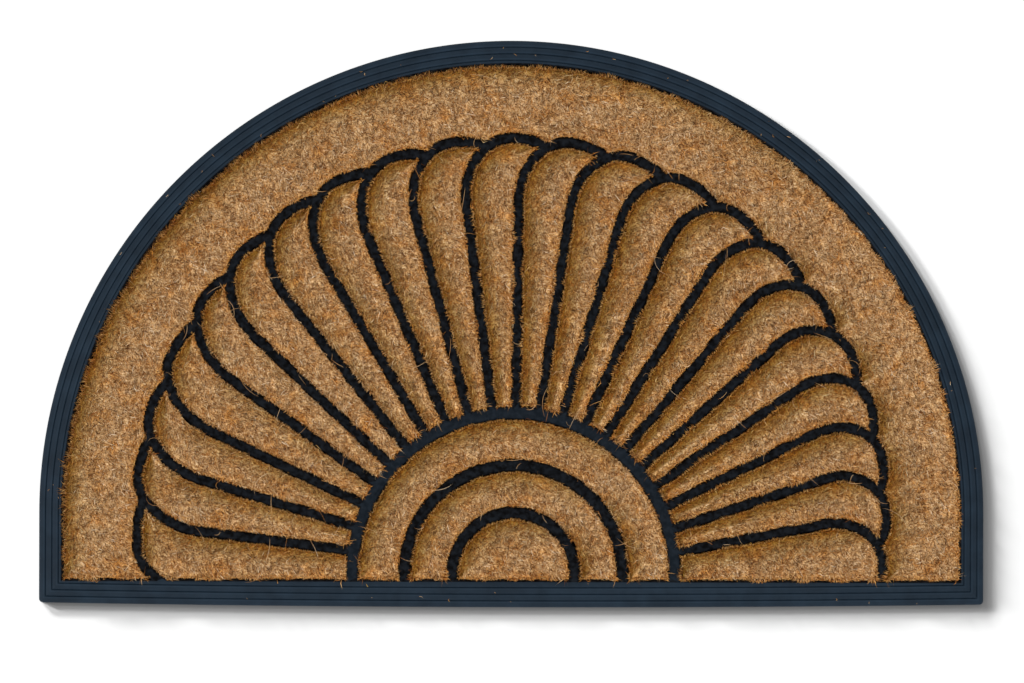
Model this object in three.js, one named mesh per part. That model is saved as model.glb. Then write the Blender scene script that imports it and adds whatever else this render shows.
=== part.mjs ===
// Half round doormat: one rubber moulding with a ribbed rim, three half rings and a fan of
// curling bars, and coir pile in the pockets between them.
// Millimetres, +Z up. The origin lies under the middle of the mat's bounding box, +X runs
// along the straight front edge and +Y points to the round back.
import * as THREE from 'three';
import { mergeVertices } from 'three/addons/utils/BufferGeometryUtils.js';

// Outline of the mat
const matWidth = 750;
const matDepth = 450;
const frontBow = 3;
const cornerRadius = 3;
const arcRadius = matWidth / 2;
const arcCentre = new THREE.Vector2(0, matDepth / 2 - arcRadius);
const frontCornerY = -matDepth / 2 + frontBow;

// Heights of the moulding
const floorHeight = 2.5;
const barHeight = 8.5;
const edgeHeight = 2.8;
const edgeRound = 0.8;

// Ribs on the rim, and the lip inside them
const ribCount = 3;
const ribPitch = 5.3;
const grooveWidth = 1.6;
const grooveDepth = 1.2;
const lipStart = ribCount * ribPitch + grooveWidth;
const lipEnd = 19.7;
const frontRimWidth = 22;
const pocketFrontY = -matDepth / 2 + frontRimWidth;

// Half rings, from the largest, about a centre just behind the front of the pockets
const ringCentre = new THREE.Vector2(1.8, pocketFrontY + 4.5);
const rings = [
  { radius: 128, width: 9.8 },
  { radius: 86.5, width: 9.4 },
  { radius: 48.7, width: 9.2 },
];

// Curling bars. Bar 0 is only the bend that closes the first petal; its foot is in the rim.
const barCount = 21;
const barWidth = 7.6;
const rayCentre = new THREE.Vector2(2, pocketFrontY - 1.7);
const firstRay = 168.1;
const rayPitch = 7.87;
const fanTurn = [10, 4.8, 2.9, 2];
const fanPivot = 104;

// Arches at the tips of the bars, all under one circle about the centre of the mat's arc
const archRadius = 297.6;
const bendDepth = 50;
const bendEase = 0.55;
const curlAtLeft = 7.4;
const curlAtRight = 9.1;
const archDrop = 6;
const archOverrun = 8;

// Coir pile
const pileGap = 0.3;
const pileEdgeHeight = 8.8;
const pileCrown = 3.2;
const pileRound = 5;
const lumpHeight = 0.35;
const lumpLength = 17;

// Steps of the curved walls
const arcSteps = 64;
const bowSteps = 12;
const straightSteps = 4;
const bendSteps = 9;
const archSteps = 6;
const ringSteps = 24;
const searchStep = 1;
const hairBow = 1e-6;

const rubber = new THREE.MeshStandardMaterial({ color: 0x25343f, roughness: 0.6, metalness: 0 });
const coir = new THREE.MeshStandardMaterial({ color: 0xa57a4c, roughness: 1, metalness: 0 });

function direction(degrees) {
  const angle = THREE.MathUtils.degToRad(degrees);
  return new THREE.Vector2(Math.cos(angle), Math.sin(angle));
}

function pointFrom(origin, heading, length) {
  return origin.clone().addScaledVector(heading, length);
}

function arc(centre, radius, fromDegrees, toDegrees, steps) {
  const points = [];
  for (let i = 0; i <= steps; i += 1) {
    const degrees = THREE.MathUtils.lerp(fromDegrees, toDegrees, i / steps);
    points.push(pointFrom(centre, direction(degrees), radius));
  }
  return points;
}

// Where a ray from inside a circle leaves it
function circleHit(origin, heading, centre, radius) {
  const offset = origin.clone().sub(centre);
  const along = offset.dot(heading);
  const reach = Math.sqrt(along * along - offset.lengthSq() + radius * radius) - along;
  return pointFrom(origin, heading, reach);
}

// A centre line that walls are measured from: a side of 0 is the line itself, and a
// positive side lies to the left of it.
class Strand {
  constructor(...curves) {
    this.path = new THREE.CurvePath();
    curves.forEach((curve) => this.path.add(curve));
    this.length = this.path.getLength();
    this.shoulder = 0;
  }

  at(run, side) {
    const share = THREE.MathUtils.clamp(run / this.length, 0, 1);
    const point = this.path.getPoint(share);
    const heading = this.path.getTangent(share);
    return point.add(new THREE.Vector2(-heading.y, heading.x).multiplyScalar(side));
  }

  along(side, from, to, steps) {
    const points = [];
    for (let i = 0; i <= steps; i += 1) {
      points.push(this.at(THREE.MathUtils.lerp(from, to, i / steps), side));
    }
    return points;
  }

  sampled(side) {
    return this.along(side, 0, this.length, Math.ceil(this.length / searchStep));
  }
}

// The first place where two walls cross, as the length run along each centre line
function meet(first, firstSide, second, secondSide) {
  const a = first.sampled(firstSide);
  const b = second.sampled(secondSide);
  for (let i = 0; i < a.length - 1; i += 1) {
    const p = a[i + 1].clone().sub(a[i]);
    for (let j = 0; j < b.length - 1; j += 1) {
      const q = b[j + 1].clone().sub(b[j]);
      const gap = b[j].clone().sub(a[i]);
      const turn = p.cross(q);
      const s = gap.cross(q) / turn;
      const t = gap.cross(p) / turn;
      if (s >= 0 && s <= 1 && t >= 0 && t <= 1) {
        const firstRun = ((i + s) / (a.length - 1)) * first.length;
        const secondRun = ((j + t) / (b.length - 1)) * second.length;
        return { first: firstRun, second: secondRun };
      }
    }
  }
  throw new Error('these walls do not meet');
}

// The straight ray that bar number index follows up to its bend
function ray(index) {
  const degrees = firstRay - (index - 1) * rayPitch;
  const pivot = pointFrom(rayCentre, direction(degrees), fanPivot);
  const turned = degrees + (fanTurn[index] ?? 0);
  return { origin: pivot, heading: direction(turned) };
}

function bend(index) {
  const { origin, heading } = ray(index);
  const shoulder = circleHit(origin, heading, arcCentre, archRadius - bendDepth);
  const tip = circleHit(origin, heading, arcCentre, archRadius);
  const curl = THREE.MathUtils.lerp(curlAtLeft, curlAtRight, index / barCount);
  const tipDegrees = THREE.MathUtils.radToDeg(tip.clone().sub(arcCentre).angle());
  const outward = direction(tipDegrees - curl);
  const crest = pointFrom(arcCentre, outward, archRadius);
  const clockwise = new THREE.Vector2(outward.y, -outward.x);
  const curlLength = archRadius * THREE.MathUtils.degToRad(curl);
  const curve = new THREE.CubicBezierCurve(
    shoulder,
    pointFrom(shoulder, heading, bendEase * shoulder.distanceTo(tip)),
    pointFrom(crest, clockwise, -bendEase * curlLength),
    crest,
  );
  return { shoulder, curve, crest, clockwise };
}

// Where the arch before a bar comes down on the middle of that bar
function archLanding(index) {
  const { curve } = bend(index);
  const landing = curve.getSpacedPoints(Math.ceil(curve.getLength() / searchStep));
  return landing.find((point) => point.distanceTo(arcCentre) > archRadius - archDrop);
}

function archFall(index) {
  const { crest, clockwise } = bend(index);
  if (index === barCount) {
    return [new THREE.LineCurve(crest, pointFrom(crest, clockwise, frontRimWidth))];
  }
  const landing = archLanding(index + 1);
  const middle = pointFrom(crest, clockwise, crest.distanceTo(landing) / 2);
  const heading = landing.clone().sub(middle).normalize();
  return [
    new THREE.QuadraticBezierCurve(crest, middle, landing),
    new THREE.LineCurve(landing, pointFrom(landing, heading, archOverrun)),
  ];
}

function makeBar(index) {
  const { shoulder, curve } = bend(index);
  const { origin, heading } = ray(index);
  if (index === 0) {
    return new Strand(curve, ...archFall(index));
  }
  const foot = circleHit(origin, heading, ringCentre, rings[0].radius);
  const bar = new Strand(new THREE.LineCurve(foot, shoulder), curve, ...archFall(index));
  bar.shoulder = foot.distanceTo(shoulder);
  return bar;
}

const bars = [];
for (let index = 0; index <= barCount; index += 1) {
  bars.push(makeBar(index));
}

const front = new Strand(
  new THREE.LineCurve(
    new THREE.Vector2(-matWidth / 2, pocketFrontY),
    new THREE.Vector2(matWidth / 2, pocketFrontY),
  ),
);

function ringWall(ring, side) {
  return ring.radius + side * (ring.width / 2);
}

// How far below its centre a half ring's wall ends, as an angle
function dropAngle(radius, clearance) {
  const drop = ringCentre.y - pocketFrontY - clearance;
  return THREE.MathUtils.radToDeg(Math.asin(drop / radius));
}

// The run along a straight bar wall at which it leaves the largest ring
function footRun(bar, side, clearance) {
  const start = bar.at(0, side);
  const heading = bar.path.getTangent(0);
  const radius = ringWall(rings[0], 1) + clearance;
  return circleHit(start, heading, ringCentre, radius).distanceTo(start);
}

// The run along the front at which the largest ring meets it, to the left or to the right
function frontRun(towards, clearance) {
  const radius = ringWall(rings[0], 1) + clearance;
  const drop = THREE.MathUtils.degToRad(dropAngle(radius, clearance));
  return matWidth / 2 + ringCentre.x + towards * radius * Math.cos(drop);
}

// A wall along a bar, from its foot on the largest ring past its shoulder to its end
function barWall(bar, side, clearance, end) {
  const foot = footRun(bar, side, clearance);
  return [
    ...bar.along(side, foot, bar.shoulder, straightSteps),
    ...bar.along(side, bar.shoulder, end, bendSteps).slice(1),
  ];
}

// The first petal's left wall runs along the front, and then up bar 0
function firstWall(side, clearance, end) {
  const corner = meet(bars[0], side, front, clearance);
  return [
    ...front.along(clearance, frontRun(-1, clearance), corner.second, straightSteps),
    ...bars[0].along(side, corner.first, end, bendSteps).slice(1),
  ];
}

// The last petal's right wall is all on the front, up to where the last bar comes down
function lastWall(side, clearance) {
  const bar = bars.at(-1);
  const corner = meet(bar, side, front, clearance);
  const start = frontRun(1, clearance);
  const knee = THREE.MathUtils.lerp(start, corner.second, bar.shoulder / corner.first);
  return [
    ...front.along(clearance, start, knee, straightSteps),
    ...front.along(clearance, knee, corner.second, bendSteps).slice(1),
  ];
}

// The two long walls of a petal, from its foot to its tip. The left one comes first, and
// both have the same number of points.
function petalWalls(index, clearance) {
  const side = barWidth / 2 + clearance;
  const left = bars[index];
  if (index === barCount) {
    const corner = meet(left, -side, front, clearance);
    const leftWall = barWall(left, -side, clearance, corner.first);
    const rightWall = lastWall(-side, clearance);
    leftWall.at(-1).copy(rightWall.at(-1));
    return [leftWall, rightWall];
  }
  const right = bars[index + 1];
  const tip = meet(left, -side, right, side);
  const leftWall = index === 0
    ? firstWall(-side, clearance, tip.first)
    : barWall(left, -side, clearance, tip.first);
  const rightWall = barWall(right, side, clearance, tip.second);
  leftWall.at(-1).copy(rightWall.at(-1));
  return [leftWall, rightWall];
}

// The wall of the pockets' rim across from a point of the fan: straight out beside the
// straight sides of the mat, and away from the arc's centre behind them
function rimPoint(across, clearance) {
  const reach = arcRadius - lipEnd - clearance;
  if (across.y < arcCentre.y) {
    return new THREE.Vector2(Math.sign(across.x) * reach, across.y);
  }
  return pointFrom(arcCentre, across.clone().sub(arcCentre).normalize(), reach);
}

// The field outside the fan, from its left end on the front to its right end
function surroundWalls(clearance) {
  const side = barWidth / 2 + clearance;
  const inner = [];
  let from = meet(bars[0], side, front, clearance).first;
  bars.forEach((bar, index) => {
    const last = index === barCount;
    const end = last ? meet(bar, side, front, clearance) : meet(bar, side, bars[index + 1], side);
    const points = bar.along(side, from, end.first, archSteps);
    inner.push(...(last ? points : points.slice(0, -1)));
    from = end.second;
  });
  return [inner.map((point) => rimPoint(point, clearance)), inner];
}

function bandWalls(outerRing, innerRing, clearance) {
  const outer = ringWall(outerRing, -1) - clearance;
  const inner = ringWall(innerRing, 1) + clearance;
  return [outer, inner].map((radius) => {
    const drop = dropAngle(radius, clearance);
    return arc(ringCentre, radius, 180 + drop, -drop, ringSteps);
  });
}

function discWalls(ring, clearance) {
  const radius = ringWall(ring, -1) - clearance;
  const drop = dropAngle(radius, clearance);
  const round = arc(ringCentre, radius, 180 + drop, -drop, ringSteps);
  const flat = arc(ringCentre, radius, 180, 0, ringSteps);
  const squeeze = Math.cos(THREE.MathUtils.degToRad(drop));
  flat.forEach((point) => {
    point.x = ringCentre.x + (point.x - ringCentre.x) * squeeze;
    point.y = pocketFrontY + clearance;
  });
  round[0].copy(flat[0]);
  round.at(-1).copy(flat.at(-1));
  return [round, flat];
}

// Every coir field by name, with its two walls for a given clearance
const fields = [{ name: 'coir_surround', walls: surroundWalls }];
for (let index = 0; index <= barCount; index += 1) {
  fields.push({
    name: `coir_petal_${String(index + 1).padStart(2, '0')}`,
    walls: (clearance) => petalWalls(index, clearance),
  });
}
fields.push({
  name: 'coir_band_outer',
  walls: (clearance) => bandWalls(rings[0], rings[1], clearance),
});
fields.push({
  name: 'coir_band_inner',
  walls: (clearance) => bandWalls(rings[1], rings[2], clearance),
});
fields.push({ name: 'coir_half_disc', walls: (clearance) => discWalls(rings[2], clearance) });

// A closed mesh under construction, as loose triangles that are merged at the end
class Shell {
  constructor() {
    this.positions = [];
  }

  triangle(a, b, c) {
    this.positions.push(...a, ...b, ...c);
  }

  // Two triangles on four corners, given anticlockwise as seen from outside
  quad(a, b, c, d) {
    this.triangle(a, b, c);
    this.triangle(a, c, d);
  }

  // The wall between two closed loops with the same number of points
  wall(lower, upper) {
    lower.forEach((point, i) => {
      const next = (i + 1) % lower.length;
      this.quad(point, lower[next], upper[next], upper[i]);
    });
  }

  // A flat face at one height, with holes, facing up or down. The fronts of the pockets lie
  // on one line, which is bowed by a hair here so that no triangle runs along several of them.
  face(contour, holes, height, facing) {
    const points = [contour, ...holes].flat();
    const bowed = (loop) => loop.map(({ x, y }) => new THREE.Vector2(x, y + hairBow * x * x));
    THREE.ShapeUtils.triangulateShape(bowed(contour), holes.map(bowed)).forEach((corners) => {
      const [a, b, c] = corners.map((i) => points[i]);
      const area = b.clone().sub(a).cross(c.clone().sub(a));
      const order = area * facing > 0 ? [a, b, c] : [a, c, b];
      this.triangle(...order.map((point) => [point.x, point.y, height]));
    });
  }

  geometry() {
    const loose = new THREE.BufferGeometry();
    loose.setAttribute('position', new THREE.Float32BufferAttribute(this.positions, 3));
    const merged = mergeVertices(loose, 1e-4);
    const kept = [];
    const index = merged.getIndex().array;
    for (let i = 0; i < index.length; i += 3) {
      const [a, b, c] = index.slice(i, i + 3);
      if (a !== b && b !== c && c !== a) {
        kept.push(a, b, c);
      }
    }
    merged.setIndex(kept);
    merged.computeVertexNormals();
    return merged;
  }
}

function raised(points, height) {
  return points.map((point) => [point.x, point.y, height]);
}

// One loop of the rim, anticlockwise from the left end of the front edge
function rimLoop(inset) {
  const halfWidth = matWidth / 2 - inset;
  const round = Math.max(cornerRadius - inset, edgeRound / 2);
  const frontY = (x) => frontCornerY + inset - frontBow * (1 - (x / arcRadius) ** 2);
  const points = [];
  for (let i = 1; i < bowSteps; i += 1) {
    const x = THREE.MathUtils.lerp(-halfWidth + round, halfWidth - round, i / bowSteps);
    points.push(new THREE.Vector2(x, frontY(x)));
  }
  const cornerX = halfWidth - round;
  const cornerY = frontY(cornerX) + round;
  points.push(...arc(new THREE.Vector2(cornerX, cornerY), round, -90, 0, 2));
  points.push(...arc(arcCentre, arcRadius - inset, 0, 180, arcSteps));
  points.push(...arc(new THREE.Vector2(-cornerX, cornerY), round, 180, 270, 2));
  return points;
}

// Section of the rim: how far in each crease lies, and how high
function rimSection() {
  const rise = (barHeight - edgeHeight - edgeRound) / lipStart;
  const topAt = (inset) => edgeHeight + edgeRound + rise * inset;
  const rows = [
    { inset: 0, height: 0 },
    { inset: 0, height: edgeHeight },
    { inset: edgeRound, height: topAt(edgeRound) },
  ];
  for (let rib = 1; rib <= ribCount; rib += 1) {
    const groove = rib * ribPitch;
    const near = groove - grooveWidth / 2;
    const far = groove + grooveWidth / 2;
    rows.push({ inset: near, height: topAt(near) });
    rows.push({ inset: groove, height: topAt(groove) - grooveDepth });
    rows.push({ inset: far, height: topAt(far) });
  }
  rows.push({ inset: lipStart, height: barHeight });
  return rows;
}

// Points in the middle of a straight run are left out, so that faces and walls agree
function cornersOnly(loop) {
  return loop.filter((point, i) => {
    const before = loop.at(i - 1);
    const after = loop[(i + 1) % loop.length];
    const arriving = point.clone().sub(before).normalize();
    const leaving = after.clone().sub(point).normalize();
    return Math.abs(arriving.cross(leaving)) > 1e-3;
  });
}

// The closed outline of a field, anticlockwise, from its two walls
function outline([leftWall, rightWall]) {
  const loop = [...rightWall, ...leftWall.slice().reverse()];
  return loop.filter((point, i) => point.distanceTo(loop.at(i - 1)) > 1e-3);
}

function makeTray() {
  const shell = new Shell();
  const section = rimSection();
  const loops = section.map((row) => rimLoop(row.inset));
  for (let i = 0; i < section.length - 1; i += 1) {
    const lower = raised(loops[i], section[i].height);
    const upper = raised(loops[i + 1], section[i + 1].height);
    shell.wall(lower, upper);
  }
  const pockets = fields.map((field) => cornersOnly(outline(field.walls(0))));
  shell.face(cornersOnly(loops[0]), [], 0, -1);
  shell.face(loops.at(-1), pockets, barHeight, 1);
  pockets.forEach((pocket) => {
    shell.wall(raised(pocket, barHeight), raised(pocket, floorHeight));
    shell.face(pocket, [], floorHeight, 1);
  });
  return shell.geometry();
}

function distanceToLoop(point, loop) {
  const edge = new THREE.Line3();
  const from = new THREE.Vector3(point.x, point.y, 0);
  const nearest = new THREE.Vector3();
  let least = Infinity;
  loop.forEach((start, i) => {
    const end = loop[(i + 1) % loop.length];
    edge.start.set(start.x, start.y, 0);
    edge.end.set(end.x, end.y, 0);
    edge.closestPointToPoint(from, true, nearest);
    least = Math.min(least, nearest.distanceTo(from));
  });
  return least;
}

// Height of the pile: rounded down at the walls, with shallow lumps
function pileHeight(point, loop) {
  const away = 1 - Math.exp(-distanceToLoop(point, loop) / pileRound);
  const lumps = Math.sin(point.x / lumpLength) * Math.cos(point.y / lumpLength + point.x / matWidth);
  return pileEdgeHeight + away * (pileCrown + lumpHeight * lumps);
}

function nearEnd(end, next) {
  return end.clone().lerp(next, Math.min(pileRound / end.distanceTo(next), 0.5));
}

// One more row close to both ends of a wall, so that the pile rounds down there as well
function withEndRows(wall) {
  const first = nearEnd(wall[0], wall[1]);
  const last = nearEnd(wall.at(-1), wall.at(-2));
  return [wall[0], first, ...wall.slice(1, -1), last, wall.at(-1)];
}

function makePile(walls) {
  const [left, right] = walls(pileGap).map(withEndRows);
  const loop = outline([left, right]);
  const shell = new Shell();
  const bottom = floorHeight + pileGap;
  const width = left[Math.floor(left.length / 2)].distanceTo(right[Math.floor(left.length / 2)]);
  const brim = Math.min(pileRound / width, 0.25);
  const columns = [0, brim, 0.5, 1 - brim, 1];
  const rows = left.map((point, i) => columns.map((share) => {
    const spot = point.clone().lerp(right[i], share);
    return [spot.x, spot.y, pileHeight(spot, loop)];
  }));
  const leftFoot = raised(left, bottom);
  const rightFoot = raised(right, bottom);
  for (let i = 0; i < rows.length - 1; i += 1) {
    const here = rows[i];
    const next = rows[i + 1];
    for (let j = 0; j < columns.length - 1; j += 1) {
      shell.quad(here[j], here[j + 1], next[j + 1], next[j]);
    }
    shell.quad(leftFoot[i], leftFoot[i + 1], rightFoot[i + 1], rightFoot[i]);
    shell.quad(leftFoot[i], here[0], next[0], leftFoot[i + 1]);
    shell.quad(rightFoot[i], rightFoot[i + 1], next.at(-1), here.at(-1));
  }
  const ends = [
    { row: rows[0], from: leftFoot[0], to: rightFoot[0] },
    { row: rows.at(-1).slice().reverse(), from: rightFoot.at(-1), to: leftFoot.at(-1) },
  ];
  ends.forEach(({ row, from, to }) => {
    for (let j = 0; j < row.length - 1; j += 1) {
      shell.triangle(from, row[j + 1], row[j]);
    }
    shell.triangle(from, to, row.at(-1));
  });
  return shell.geometry();
}

const mat = new THREE.Group();

const tray = new THREE.Mesh(makeTray(), rubber);
tray.name = 'rubber_tray';
mat.add(tray);

fields.forEach((field) => {
  const pile = new THREE.Mesh(makePile(field.walls), coir);
  pile.name = field.name;
  mat.add(pile);
});

export default mat;
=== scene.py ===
"""Half round doormat: a ribbed rubber moulding with coir pile in its pockets.

The outlines are worked out from named sizes, in millimetres, in the part's own frame: +Z up,
+X along the straight front edge, +Y to the round back. Meshes are scaled to metres at the end.
"""
import math

import bpy
import numpy as np
from mathutils.geometry import delaunay_2d_cdt
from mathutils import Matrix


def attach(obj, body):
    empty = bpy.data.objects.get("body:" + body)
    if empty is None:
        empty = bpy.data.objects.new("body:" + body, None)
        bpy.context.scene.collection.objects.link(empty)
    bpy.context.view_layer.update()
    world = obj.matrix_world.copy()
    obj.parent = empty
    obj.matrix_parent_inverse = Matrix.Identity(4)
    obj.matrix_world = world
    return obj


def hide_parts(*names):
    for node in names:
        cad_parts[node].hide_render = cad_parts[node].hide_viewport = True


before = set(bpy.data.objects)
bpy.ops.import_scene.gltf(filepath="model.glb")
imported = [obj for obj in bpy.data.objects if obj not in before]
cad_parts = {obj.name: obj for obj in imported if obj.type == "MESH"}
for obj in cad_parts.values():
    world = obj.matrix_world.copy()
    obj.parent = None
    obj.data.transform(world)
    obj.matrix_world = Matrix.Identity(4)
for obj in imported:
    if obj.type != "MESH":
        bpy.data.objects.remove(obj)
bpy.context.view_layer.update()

# Every fibre is drawn from here, in a fixed order
SEED = 41
rng = np.random.default_rng(SEED)

# A millimetre in metres, and lengths in millimetres that are too small to count
METRES = 0.001
SMALL = 1e-3
TINY = 1e-6

# Outline of the mat
MAT_WIDTH = 750
MAT_DEPTH = 450
FRONT_BOW = 3
CORNER_RADIUS = 3
ARC_RADIUS = MAT_WIDTH / 2
ARC_CENTRE = np.array([0, MAT_DEPTH / 2 - ARC_RADIUS])
FRONT_CORNER_Y = -MAT_DEPTH / 2 + FRONT_BOW

# Heights of the moulding
FLOOR_HEIGHT = 2.5
BAR_HEIGHT = 8.5
EDGE_HEIGHT = 2.8
EDGE_ROUND = 0.8
BAR_ROUND = 1.7
BAR_ROUND_STEPS = 3
SHARP_ANGLE = 48

# Ribs on the rim, and the lip inside them
RIB_COUNT = 3
RIB_PITCH = 5.3
GROOVE_WIDTH = 1.6
GROOVE_DEPTH = 0.8
RIB_CROWN = 0.15
RIB_CROWN_SHARES = (0.3, 0.7)
# Paleness of the rubber, from the bar colour at 0 to the rim colour at 1: the rim has its own paler
# colour, and the outer half ring is a little paler. The rib edges get full paleness, a painted
# highlight.
RIM_PALENESS = 0.8
RING_PALENESS = 0.28
LIP_START = RIB_COUNT * RIB_PITCH + GROOVE_WIDTH
LIP_END = 19.7
RIM_RISE = (BAR_HEIGHT - EDGE_HEIGHT - EDGE_ROUND) / LIP_START

# Section of a groove: share of its half width, and share of its depth
GROOVE = [(-1, 0), (-0.62, 0.12), (-0.3, 0.75), (0, 1), (0.3, 0.75), (0.62, 0.12), (1, 0)]

# Front edge of the pockets
FRONT_RIM_WIDTH = 22
POCKET_FRONT_Y = -MAT_DEPTH / 2 + FRONT_RIM_WIDTH

# Half rings, as radius and width
RING_CENTRE = np.array([1.8, POCKET_FRONT_Y + 4.5])
RINGS = [(128, 9.8), (86.5, 9.4), (48.7, 9.2)]

# Curling bars: they run out along rays, bend to the right, and come down in arches.
# The first rays turn away from the even pitch by the degrees in FAN_TURN.
BAR_COUNT = 21
BAR_WIDTH = 7.6
RAY_CENTRE = np.array([2, POCKET_FRONT_Y - 1.7])
FIRST_RAY = 168.1
RAY_PITCH = 7.87
FAN_TURN = [10, 4.8, 2.9, 2]
FAN_PIVOT = 104
ARCH_RADIUS = 297.6
BEND_DEPTH = 50
BEND_EASE = 0.55
CURL_AT_LEFT = 7.4
CURL_AT_RIGHT = 9.1
ARCH_DROP = 6
ARCH_OVERRUN = 8

# Steps of the walls
FEWEST_STEPS = 8
CURVE_STEP = 0.25
BEZIER_STEPS = 400
SEARCH_STEP = 1
STRAIGHT_STEPS = 34
BEND_STEPS = 30
ARCH_STEPS = 22
RING_STEPS = 120
RIM_ARC_STEPS = 320
RIM_FRONT_STEPS = 60
CORNER_STEPS = 5
EDGE_TURNS = (30, 60, 90)

# Kind of result and tolerance of the flat triangulation
INSIDE_ONLY = 1
FLAT_TOLERANCE = 1e-7

# Coir beds, under the fibres. A bed sinks towards LIGHT_WAY, the way to the back left.
CLEARANCE = 0.3
BED_GAP = 1.2
OUTSET = 2
BED_EDGE = 8.4
BED_CROWN = 1.8
BED_ROUND = 5
BED_SINK = 3.2
SINK_REACH = 6.5
COLUMN_EASE = 1.5
# How far the painted shade reaches from the back left edges of a pocket, and the thin painted shade
# from its front right edges
SHADE_REACH = 7
EDGE_SHADE_REACH = 2.8
LIGHT_WAY = np.array([-math.sqrt(0.5), math.sqrt(0.5)])

# Smooth noises, as height, length of the bumps and seed
LUMPS = [(0.26, 26, 3), (0.12, 9, 4)]
SWIRLS = [(1, 11, 5)]
RAGGED_WAVES = [(0.17, 3.2, 6), (0.2, 7, 7), (0.22, 18, 8)]
RAGGED_LIMIT = 0.6
TUFT_WAVES = [(1, 21, 9)]
TUFT_FLOOR = -0.4

# Fibres of the pile. Tones run from 0, dark, to 1, pale, and are given as mean and spread.
FIBRES_PER_MM2 = 0.72
GOLDEN = (math.sqrt(5) - 1) / 2
FIBRE_LENGTH = (5.5, 11.5)
SHORTEST_SHARE = 0.2
FIBRE_WIDTH = (0.32, 0.62)
FIBRE_TONE = (0.45, 0.21)
DARK_SHARE = 0.08
PALE_SHARE = 0.06
TONE_STEP = 0.3
FIBRE_TOP = 12.8
FIBRE_SUNK = (0.1, 0.9)
FIBRE_RISE = (3, 32)
STEEPEST_DIP = 0.2
LEAN_HEADING = -45
LEAN_SPREAD = 48
WALL_SPREAD = 80
LEAN_SWIRL = 20
PILE_MARGIN = 0.4
PILE_RAGGED = 0.7

# Bent fibres: their share, how far their middles stray for their length, and their thickness
BENT_SHARE = 0.4
BENT_SWAY = 0.13
BENT_ARCH = 0.12
BENT_SWELL = 1.15
HAIR_ENDS = (0.12, 0.9)

# Fringe: how far it lies over the rim on the side that faces each way, in degrees from +X
FRINGE_STEP = 0.38
FRINGE_WAYS = [-180, -90, 0, 45, 90, 135, 180]
FRINGE_REACHES = [3.2, 0.5, 1.6, 0.9, 0.8, 1.8, 3.2]
RIM_NEAR = 1
FRINGE_OVER = (0.25, 1.15)
FRINGE_BACK = 0.3
BAR_SHARE = 0.5
FRINGE_INSET = (0.2, 2.2)
RIM_INSET = 3.4
FRINGE_WIDTH = (0.26, 0.56)
FRINGE_TONE = (0.46, 0.19)
# Painted shade of the fringe: how much its tones darken at the rim's back left, and the share of a
# pocket's painted shade that it takes
RIM_FRINGE_SHADE = 0.18
FRINGE_SHADE = 0.5
FRINGE_SINK = 0.2
KNEE_RISE = (0.2, 0.9)
TIP_RISE = (0.15, 0.9)
KNEE_ASIDE = 0.35

# Sideways spread of the fringe: at least, for its reach, and at the rim's back left
ASIDE = 1.2
ASIDE_FOR_REACH = 0.5
ASIDE_AT_RIM = 0.6

# How far the edge of the coir wanders, and the tufts that lean out over the rubber
RAGGED = 2.8
RAGGED_REACH = 1.2
RAGGED_SHARE = (0.5, 1)
FRONT_TUFTS = 0.6
ARC_TUFTS = 0.3
FAN_TUFTS = 0.5
FAN_REACH = 270
TUFT_REACH = 8

# Loose fibres over the coir and bars, most of them short, as spreads and ranges
STRAY_COUNT = 300
STRAY_TRIES = 4
STRAY_STEPS = 8
STRAY_MARGIN = 4
STRAY_OVERHANG = 3
SHORT_STRAYS = 0.65
STRAY_LENGTHS = (9, 22)
STRAY_STRETCH = (0.6, 1.5)
STRAY_CURL = 70
STRAY_HEIGHT = (12, 12.6)
STRAY_TONE = (0.25, 0.9)
STRAY_WIDTH = (0.16, 0.32)

# Lint on the rim
LINT_COUNT = 45
LINT_LENGTH = (0.6, 4)
LINT_INSET = 2
LINT_LIFT = 0.3
LINT_CURL = 60
LINT_TONE = (0.3, 0.9)
LINT_WIDTH = (0.2, 0.4)


def unit(degrees):
    angle = np.radians(degrees)
    return np.stack([np.cos(angle), np.sin(angle)], axis=-1)


def mix(start, end, share):
    return start + (end - start) * share


def arc(centre, radius, start, end, steps):
    return centre + radius * unit(np.linspace(start, end, steps + 1))


def circle_hit(origin, heading, centre, radius):
    """Where a ray from inside a circle leaves it."""
    offset = origin - centre
    along = offset @ heading
    return origin + heading * (math.sqrt(along**2 - offset @ offset + radius**2) - along)


def cross(a, b):
    return a[..., 0] * b[..., 1] - a[..., 1] * b[..., 0]


def line(start, end):
    steps = max(2, math.ceil(np.linalg.norm(end - start) / CURVE_STEP))
    return mix(start, end, np.linspace(0, 1, steps + 1)[:, None])


def bezier(*corners):
    """A Bezier curve of any degree, finely stepped."""
    share = np.linspace(0, 1, BEZIER_STEPS + 1)[:, None]
    rows = [np.asarray(corner, float)[None] + 0 * share for corner in corners]
    while len(rows) > 1:
        rows = [mix(a, b, share) for a, b in zip(rows, rows[1:])]
    return rows[0]


class Strand:
    """A centre line that walls are measured from. A positive side lies to its left."""

    def __init__(self, *curves):
        points = np.concatenate([curves[0], *[curve[1:] for curve in curves[1:]]])
        steps = np.linalg.norm(np.diff(points, axis=0), axis=1)
        self.points = points
        self.runs = np.concatenate([[0], np.cumsum(steps)])
        self.length = self.runs[-1]
        headings = np.gradient(points, self.runs, axis=0)
        self.headings = headings / np.linalg.norm(headings, axis=1, keepdims=True)
        self.shoulder = 0

    def at(self, run, side):
        run = np.clip(run, 0, self.length)
        x, y = (np.interp(run, self.runs, column) for column in self.points.T)
        along_x, along_y = (np.interp(run, self.runs, column) for column in self.headings.T)
        return np.stack([x - along_y * side, y + along_x * side], axis=-1)

    def along(self, side, start, end, steps):
        return self.at(np.linspace(start, end, steps + 1), side)

    def sampled(self, side):
        return self.along(side, 0, self.length, math.ceil(self.length / SEARCH_STEP))


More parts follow.
